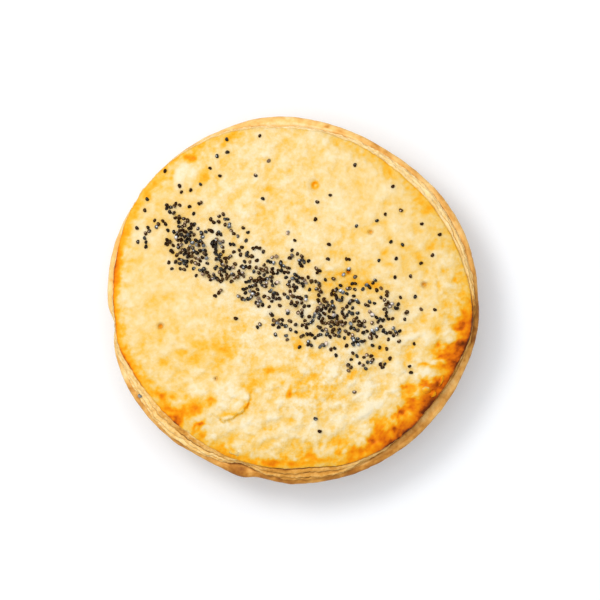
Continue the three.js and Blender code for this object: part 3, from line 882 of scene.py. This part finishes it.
def case_profile():
    """Radius, height and outward direction along the case's outline, from the base to the rim's top."""
    wall_top = CASE_HEIGHT - RIM_THICKNESS
    wall_top_radius = RIM_RADIUS - WALL_LEAN_IN
    rows = [(radius, 0, 0, -1) for radius in np.linspace(BASE_MIDDLE, BASE_RADIUS - BASE_CORNER, BASE_RINGS)]
    for turn in np.linspace(0, math.pi / 2, CORNER_RINGS)[1:]:
        out = math.sin(turn)
        up = -math.cos(turn)
        rows.append((BASE_RADIUS - BASE_CORNER * (1 - out), BASE_CORNER * (1 + up), out, up))
    for t in np.linspace(0, 1, WALL_RINGS)[1:]:
        rows.append((BASE_RADIUS + (wall_top_radius - BASE_RADIUS) * t,
                     BASE_CORNER + (wall_top - BASE_CORNER) * t, *WALL_FACES))
    for t in np.linspace(0, 1, LEDGE_RINGS)[1:-1]:
        rows.append((wall_top_radius + (WALL_LEAN_IN - RIM_ROUND) * t, wall_top, 0, -1))
    for turn in np.linspace(-math.pi / 2, math.pi / 2, LIP_RINGS):
        out = math.cos(turn)
        up = math.sin(turn)
        rows.append((RIM_RADIUS - RIM_ROUND * (1 - out), wall_top + RIM_THICKNESS * (1 + up) / 2, out, up))
    return np.array(rows)


def case_bake(bake):
    """How far the case is baked, where browning slows down sooner."""
    return eased_bake(bake + CASE_SLOWER) - CASE_SLOWER


def pastry_case(material):
    """The case: baked against a tin below the rim, rougher on the rim itself."""
    angle = np.linspace(0, 2 * math.pi, CASE_SEGMENTS, endpoint=False)
    wall_top = CASE_HEIGHT - RIM_THICKNESS
    rings, bakes = [], []
    # partly painted shade on the right and at the bottom of the rim
    around_rim = lobes(angle, RIM_BAKE_AND_SHADE)
    # partly browning, partly painted shade from the lid on the rim's right side
    singed = lobes(angle, RIM_SINGED_AND_SHADED)
    shade_width, shade = WALL_SHADE
    low_spread, low_bake = LOW_EDGE
    for radius, height, out, up in case_profile():
        uneven = float(ease(wall_top - RIM_OVALS_ABOVE, wall_top, height))
        reach = radius * (1 + uneven * (rim_radius(angle) / RIM_RADIUS - 1))
        plain = ring_points(angle, reach, height)
        pits = ease(*PITTED, lumps(plain, PIT_WIDTH, PIT_FIELD, octaves=1))
        rise = (SWELL_HEIGHT + SWELL_MORE * uneven) * lumps(plain, SWELL_WIDTH, SWELL_FIELD)
        rise += GRAIN_HEIGHT * (1 + uneven) * lumps(plain, GRAIN_WIDTH, GRAIN_FIELD) - PIT_DEPTH * pits
        if height == 0:
            rise -= BASE_HOLLOW
        rings.append(ring_points(angle, reach + rise * out, np.maximum(0, height + rise * up)))
        on_base = 1 - float(ease(0, BASE_CORNER, height))
        wall = WALL_BAKE + low_bake * bell((radius - BASE_RADIUS) / low_spread) - RIM_PALER * uneven
        wall += BASE_BAKE * on_base * (1 - radius / BASE_RADIUS)
        bake = wall + uneven * (around_rim + layered(plain, RIM_MOTTLE, MOTTLE_FIELD))
        bake += shade * lumps(plain, shade_width, WALL_FIELD) + PIT_PAINTED_SHADE * pits
        bakes.append(case_bake(bake) + uneven * singed)
    foot = lid_radius(angle) + lid_flare(angle)
    reach = np.hypot(rings[-1][:, 0], rings[-1][:, 1])
    foot_shade = lobes(angle, FOOT_PAINTED_SHADE)
    for past_foot, drop, browner, crease in RIM_TOP_RINGS:
        reach = np.minimum(foot + past_foot, reach - RIM_STEP)
        plain = ring_points(angle, reach, CASE_HEIGHT - drop)
        rough = RIM_GRAIN * lumps(plain, GRAIN_WIDTH, GRAIN_FIELD) + layered(plain, [RIM_FINE], RIM_FIELD)
        rings.append(plain + (0, 0, 1) * rough[:, None])
        # painted shade on the rim's rings at the lid's foot
        bake = RIM_TOP_BAKE + browner + crease * foot_shade + around_rim
        bake += layered(plain, RIM_MOTTLE, MOTTLE_FIELD)
        bakes.append(case_bake(bake) + singed)
    for share in SEAT:
        rings.append(ring_points(angle, share * lid_radius(angle), seat_height(share)))
        bakes.append(np.full(CASE_SEGMENTS, SEAT_BAKE))
    middle = len(rings) * CASE_SEGMENTS
    faces = ring_faces(0, len(rings), CASE_SEGMENTS) + flipped(fan(0, CASE_SEGMENTS, middle))
    faces += fan(middle - CASE_SEGMENTS, CASE_SEGMENTS, middle + 1)
    points = np.concatenate([*rings, [[0, 0, 0], [0, 0, seat_height(0)]]])
    bake = np.concatenate([*bakes, [WALL_BAKE + BASE_BAKE, WALL_BAKE]])
    return mesh_object("shortcrust_case", points, faces, bake, [material])


def repeatable_draw(start):
    """A multiplicative generator, as on the solid lid."""
    state = start
    while True:
        state = state * DRAW_TIMES % DRAW_OVER
        yield state / DRAW_OVER


def seed_length(draw):
    return SEED_LENGTH * (1 + SEED_SIZE_SPREAD * (2 * next(draw) - 1))


def strewn_seeds():
    """Every poppy seed of each layer as x, y, length, turn and the height of the pastry under it."""
    draw = repeatable_draw(SEED_DRAW)
    band = math.radians(BAND_TURN)
    layers = [[], []]
    for at_x, at_y, along_by, across_by, count, share in PINCHES:
        landed = layers[0]
        first = len(landed)
        for _ in range(count):
            reach = math.sqrt(-2 * math.log(next(draw)))
            heading = 2 * math.pi * next(draw)
            length = seed_length(draw)
            turn = 2 * math.pi * next(draw)
            sticks = next(draw) < share
            beside = first + math.floor(next(draw) * (len(landed) - first))
            along = reach * math.cos(heading) * along_by
            across = reach * math.sin(heading) * across_by
            x = at_x + along * math.cos(band) - across * math.sin(band)
            y = at_y + along * math.sin(band) + across * math.cos(band)
            if sticks and beside < len(landed):
                x = landed[beside][0] + STUCK_REACH * length * math.cos(heading)
                y = landed[beside][1] + STUCK_REACH * length * math.sin(heading)
            if math.hypot(x, y) >= lid_radius(np.arctan2(y, x)) - SEED_EDGE_MARGIN:
                continue
            for layer in layers:
                if all(math.hypot(s[0] - x, s[1] - y) >= SEED_CLEARANCE * length for s in layer):
                    layer.append((x, y, length, turn))
                    break
    for x, y in STRAYS:
        layers[0].append((x, y, seed_length(draw), 2 * math.pi * next(draw)))
    rested = []
    for seeds in layers:
        surface, _ = lid_top(*np.array(seeds)[:, :2].T)
        rested.append([(*seed, under) for seed, under in zip(seeds, surface)])
    for x, y, under in EDGE_STRAYS:
        rested[0].append((x, y, seed_length(draw), 2 * math.pi * next(draw), under))
    return rested


def seed_form():
    """Points and faces of one kidney-shaped seed of unit length that lies along X."""
    points = [(-0.5, 0, 0)]
    for ring in range(1, SEED_RINGS):
        lean = math.pi * ring / SEED_RINGS
        wide = 0.5 * math.sin(lean)
        for side in range(SEED_SIDES):
            turn = 2 * math.pi * side / SEED_SIDES
            points.append((-0.5 * math.cos(lean), wide * math.cos(turn), wide * math.sin(turn)))
    points.append((0.5, 0, 0))
    points = np.array(points)
    x, y, _ = points.T
    notch = SEED_NOTCH * np.exp(-((x / SEED_NOTCH_REACH) ** 2)) * np.maximum(0, y) / 0.5
    points[:, 1] = y * SEED_WIDTH + SEED_BEND * x ** 2 - SEED_SHIFT - notch
    points[:, 2] *= SEED_HEIGHT
    end = len(points) - 1
    faces = flipped(fan(1, SEED_SIDES, 0) + ring_faces(1, SEED_RINGS - 1, SEED_SIDES))
    return points, faces + fan(end - SEED_SIDES, SEED_SIDES, end)


def poppy_seeds(material):
    """All the seeds as one mesh, each with its own tone and a painted highlight; crowded ones lie on those
    under them.
    """
    pick = np.random.default_rng(SEED_DRAW)
    form, form_faces = seed_form()
    points, faces, tones, lying = [], [], [], []
    for layer, seeds in enumerate(strewn_seeds()):
        for x, y, length, turn, surface in seeds:
            middle = surface + length * SEED_HEIGHT * (0.5 - SEED_SUNK)
            if layer:
                under = [z for ux, uy, z in lying if math.hypot(ux - x, uy - y) < length]
                middle = max(middle, max(under, default=0) + PILE_RISE * length)
            lying.append((x, y, middle))
            tip = pick.normal(0, SEED_TIP[layer])
            roll = pick.normal(0, SEED_ROLL)
            tipped = Matrix.Rotation(tip, 3, "Y") @ Matrix.Rotation(roll, 3, "X")
            turned = form @ np.array(Matrix.Rotation(turn, 3, "Z") @ tipped).T
            up = HIGHLIGHT_FACES + pick.normal(0, HIGHLIGHT_STRAYS, 3)
            facing = turned @ up / (np.linalg.norm(turned, axis=1) * np.linalg.norm(up))
            # painted highlight: each seed is paler where it faces up towards the lamps
            highlight = SEED_PAINTED_HIGHLIGHT * pick.random() * np.maximum(0, facing) ** HIGHLIGHT_TIGHT
            first = len(points) * len(form)
            points.append(length * turned + (x, y, middle))
            faces += [[first + i for i in face] for face in form_faces]
            tones.append(pick.beta(*SEED_TONES[layer]) + highlight)
    return mesh_object("poppy_seeds", np.concatenate(points), faces, np.concatenate(tones), [material])


def pastry_flakes(materials):
    """Thin flakes that have come away at the lid's edge, each pinned on one side and lifted on the other."""
    pick = np.random.default_rng(FLAKE_DRAW)
    round_by = np.arange(FLAKE_SIDES) * 2 * math.pi / FLAKE_SIDES
    points, faces, bakes = [], [], []
    for x, y, long, wide, heading, lift in FLAKES:
        ragged = 1 + pick.normal(0, FLAKE_RAGGED, FLAKE_SIDES)
        along = long * np.cos(round_by) * ragged
        out = wide * np.sin(round_by) * ragged
        past_x, past_y = swung(out, along, -heading)
        at_x = np.append(x + past_x, x)
        at_y = np.append(y + past_y, y)
        surface, bake = lid_top(at_x, at_y)
        free = np.clip(0.5 + 0.5 * np.append(out, 0) / wide, 0, 1)
        upper = np.stack([at_x, at_y, surface + lift * free], -1)
        first = sum(map(len, points))
        below = first + len(upper)
        points.append(np.concatenate([upper, upper - (0, 0, FLAKE_THICK)]))
        # painted highlight along each flake's lifted edge
        bakes.append(np.concatenate([bake - FLAKE_PAINTED_HIGHLIGHT * free ** FLAKE_HIGHLIGHT_POWER, bake]))
        faces += fan(first, FLAKE_SIDES, below - 1)
        faces += flipped(fan(below, FLAKE_SIDES, below + FLAKE_SIDES))
        for i in range(FLAKE_SIDES):
            j = (i + 1) % FLAKE_SIDES
            faces.append([first + j, first + i, below + i, below + j])
    return mesh_object("pastry_flakes", np.concatenate(points), faces, np.concatenate(bakes), materials)


def new_material(name):
    material = bpy.data.materials.new(name)
    material.use_nodes = True
    material.node_tree.nodes.clear()
    return material, material.node_tree


def add(tree, kind, inputs=None, stops=None, **settings):
    """Adds a node with its settings; an input is a value, or another node's output to link."""
    node = tree.nodes.new(kind)
    for name, value in settings.items():
        setattr(node, name, value)
    for name, value in (inputs or {}).items():
        if isinstance(value, bpy.types.NodeSocket):
            tree.links.new(value, node.inputs[name])
        else:
            node.inputs[name].default_value = value
    if stops:
        ramp = node.color_ramp
        while len(ramp.elements) < len(stops):
            ramp.elements.new(1)
        for element, (place, colour) in zip(ramp.elements, stops):
            element.position = place
            element.color = linear(colour)
    return node


def baked_pastry(name, ramp, mottle, grain, roughness, shine, bump):
    """
    Pastry whose colour follows how far it baked, and the shade painted into that. Mottle and grain are the
    size, share and softness of its finer browning, roughness is that of pale and of browned pastry, and bump
    is the width and depth of its dents.
    """
    material, tree = new_material(name)
    place = add(tree, "ShaderNodeTexCoord").outputs["Object"]
    bake = add(tree, "ShaderNodeAttribute", attribute_name="bake").outputs["Fac"]
    mottled = add(tree, "ShaderNodeAttribute", attribute_name="mottled").outputs["Fac"]
    for size, share, soft in (mottle, grain):
        cloud = add(tree, "ShaderNodeTexNoise", {"Vector": place, "Scale": per_metre(size), "Detail": 3.0})
        swing = add(tree, "ShaderNodeMapRange", {
            "Value": cloud.outputs["Fac"], "From Min": 0.5 - soft, "From Max": 0.5 + soft,
            "To Min": -0.5, "To Max": 0.5}, interpolation_type="SMOOTHSTEP").outputs["Result"]
        reach = add(tree, "ShaderNodeMapRange", {
            "Value": bake, "To Min": share, "To Max": BROWN_STEADIES * share}).outputs["Result"]
        reach = add(tree, "ShaderNodeMath", {0: reach, 1: mottled}, operation="MULTIPLY").outputs["Value"]
        bake = add(tree, "ShaderNodeMath", {
            0: swing, 1: reach, 2: bake}, operation="MULTIPLY_ADD").outputs["Value"]
    colour = add(tree, "ShaderNodeValToRGB", {"Fac": bake}, stops=ramp)
    gloss = add(tree, "ShaderNodeMapRange", {
        "Value": bake, "From Min": GLOSS_BAKES[0], "From Max": GLOSS_BAKES[1],
        "To Min": roughness[0], "To Max": roughness[1]})
    fine = add(tree, "ShaderNodeTexNoise", {"Vector": place, "Scale": per_metre(bump[0]), "Detail": 4.0})
    dents = add(tree, "ShaderNodeBump", {
        "Height": fine.outputs["Fac"], "Strength": 0.6, "Distance": bump[1] * MM})
    skin = add(tree, "ShaderNodeBsdfPrincipled", {
        "Base Color": colour.outputs["Color"], "Roughness": gloss.outputs["Result"],
        "Normal": dents.outputs["Normal"], "IOR": 1.45, "Specular IOR Level": shine})
    add(tree, "ShaderNodeOutputMaterial", {"Surface": skin.outputs["BSDF"]})
    return material


def egg_washed_puff_pastry():
    """Puff pastry brushed with egg: cream to golden skin that turns orange and brown, with a soft shine."""
    ramp = [(0, "#DED3B4"), (0.15, "#DDCB9F"), (0.3, "#DBC083"), (0.42, "#DAB561"), (0.52, "#DEAA36"),
            (0.62, "#E19B14"), (0.74, "#DE8402"), (0.86, "#CC6502"), (0.94, "#9E4503"), (1, "#5E2503")]
    return baked_pastry(
        "egg_washed_puff_pastry", ramp, mottle=(2.4, 0.19, 0.14), grain=(0.8, 0.12, 0.18),
        roughness=(0.55, 0.4), shine=0.08, bump=(0.7, 0.3))


def cut_puff_leaves():
    """The edge that a cutter left open: dry pale leaves with painted shade in the gaps between them, and no
    egg wash.
    """
    ramp = [(0, "#F9E7C4"), (0.2, "#F2D8A0"), (0.4, "#E4BB72"), (0.6, "#C98F3B"), (0.8, "#925812"),
            (1, "#512602")]
    return baked_pastry(
        "cut_puff_leaves", ramp, mottle=(1.6, 0.14, 0.2), grain=(0.5, 0.1, 0.2),
        roughness=(0.75, 0.6), shine=0.2, bump=(0.35, 0.12))


def tin_baked_shortcrust():
    """Short pastry baked against a tin: a matt tan crumb, browner on the rim and the lower edge, with
    painted shade at the lid's foot.
    """
    ramp = [(0, "#EBD3A0"), (0.2, "#E8C07A"), (0.4, "#DBA556"), (0.6, "#BF8233"), (0.8, "#8C5111"),
            (1, "#522302")]
    return baked_pastry(
        "tin_baked_shortcrust", ramp, mottle=(3, 0.14, 0.2), grain=(0.7, 0.1, 0.2),
        roughness=(0.72, 0.55), shine=0.2, bump=(0.4, 0.14))


def poppy_seed_coat():
    """A poppy seed's dry pitted coat: brown black or slate, with a painted highlight on its upper side and a
    dull shine.
    """
    material, tree = new_material("poppy_seed_coat")
    place = add(tree, "ShaderNodeTexCoord").outputs["Object"]
    tone = add(tree, "ShaderNodeAttribute", attribute_name="bake").outputs["Fac"]
    brown = [(0, "#250F00"), (0.25, "#361D03"), (0.45, "#503718"), (0.65, "#7A5F43"), (0.85, "#B29B85"),
             (1, "#D8C6B8")]
    slate = [(0, "#170C04"), (0.25, "#231C16"), (0.45, "#393937"), (0.65, "#626668"), (0.85, "#A4AAAF"),
             (1, "#DDE2E6")]
    brown_coat = add(tree, "ShaderNodeValToRGB", {"Fac": tone}, stops=brown)
    slate_coat = add(tree, "ShaderNodeValToRGB", {"Fac": tone}, stops=slate)
    drift = add(tree, "ShaderNodeTexNoise", {
        "Vector": place, "Scale": per_metre(SEED_KIND_SIZE), "Detail": 0.0})
    kind = add(tree, "ShaderNodeMapRange", {
        "Value": drift.outputs["Fac"], "From Min": SEED_KINDS[0], "From Max": SEED_KINDS[1]})
    colour = add(tree, "ShaderNodeMix", {
        MIX_FACTOR: kind.outputs["Result"], MIX_FIRST: brown_coat.outputs["Color"],
        MIX_SECOND: slate_coat.outputs["Color"]}, data_type="RGBA")
    spacing, depth = SEED_PITS
    pits = add(tree, "ShaderNodeTexVoronoi", {"Vector": place, "Scale": per_metre(spacing)})
    ribs = add(tree, "ShaderNodeBump", {
        "Height": pits.outputs["Distance"], "Strength": 0.3, "Distance": depth * MM})
    coat = add(tree, "ShaderNodeBsdfPrincipled", {
        "Base Color": colour.outputs[MIX_RESULT], "Roughness": 0.3, "IOR": 1.5, "Specular IOR Level": 0.07,
        "Normal": ribs.outputs["Normal"]})
    add(tree, "ShaderNodeOutputMaterial", {"Surface": coat.outputs["BSDF"]})
    return material


def studio():
    """A pale paper sweep, an even surround and two soft lamps from the upper left."""
    material, tree = new_material("white_paper_sweep")
    paper = add(tree, "ShaderNodeBsdfPrincipled", {"Base Color": linear(FLOOR_COLOUR), "Roughness": 0.9})
    add(tree, "ShaderNodeOutputMaterial", {"Surface": paper.outputs["BSDF"]})
    mesh = bpy.data.meshes.new("floor")
    corners = [(FLOOR_HALF * x, FLOOR_HALF * y, 0) for x, y in ((-1, -1), (1, -1), (1, 1), (-1, 1))]
    mesh.from_pydata(corners, [], [(0, 1, 2, 3)])
    mesh.materials.append(material)
    floor = bpy.data.objects.new("floor", mesh)
    floor.location.z = -FLOOR_BELOW * MM
    bpy.context.scene.collection.objects.link(floor)

    world = bpy.data.worlds.new("white_surround")
    world.use_nodes = True
    world.node_tree.nodes.clear()
    surround = add(world.node_tree, "ShaderNodeBackground", {"Color": SURROUND_COLOUR, "Strength": SURROUND})
    add(world.node_tree, "ShaderNodeOutputWorld", {"Surface": surround.outputs["Background"]})
    bpy.context.scene.world = world
    for name, bearing, height, size, power in LIGHTS:
        light = bpy.data.lights.new(name, "AREA")
        light.shape = "DISK"
        light.size = size
        light.energy = power
        light.color = LIGHT_COLOUR
        lamp = bpy.data.objects.new(name, light)
        around = math.radians(bearing)
        above = math.radians(height)
        out = math.cos(above)
        toward = Vector((out * math.cos(around), out * math.sin(around), math.sin(above)))
        lamp.location = LIGHT_DISTANCE * toward
        lamp.rotation_euler = (-lamp.location).to_track_quat("-Z", "Y").to_euler()
        bpy.context.scene.collection.objects.link(lamp)
    bpy.context.scene.view_settings.view_transform = "Standard"


def overhead_camera():
    """Straight down, with the pie where the photograph has it in its frame."""
    data = bpy.data.cameras.new("overhead")
    data.sensor_width = SENSOR_WIDTH
    data.lens = SENSOR_WIDTH * CAMERA_DISTANCE * PIXELS_PER_MM / FRAME_PIXELS
    camera = bpy.data.objects.new("overhead", data)
    middle = FRAME_PIXELS / 2
    right = (middle - PIE_PIXEL[0]) / PIXELS_PER_MM
    forward = (PIE_PIXEL[1] - middle) / PIXELS_PER_MM
    height = CASE_HEIGHT - RIM_THICKNESS / 2 + CAMERA_DISTANCE
    camera.location = (right * MM, forward * MM, height * MM)
    bpy.context.scene.collection.objects.link(camera)
    bpy.context.scene.camera = camera


overhead_camera()
studio()

glazed = egg_washed_puff_pastry()
lid = pastry_lid([glazed, cut_puff_leaves()])
flakes = pastry_flakes([glazed])
case = pastry_case(tin_baked_shortcrust())
seeds = poppy_seeds(poppy_seed_coat())
for piece, node, slot in ((lid, "pastry_lid", "puff_pastry"), (flakes, "pastry_lid", "puff_pastry"),
                          (seeds, "pastry_lid", "poppy_seed"), (case, "pastry_case", "shortcrust")):
    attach(piece, "root")
    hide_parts(node)

bpy.context.view_layer.update()
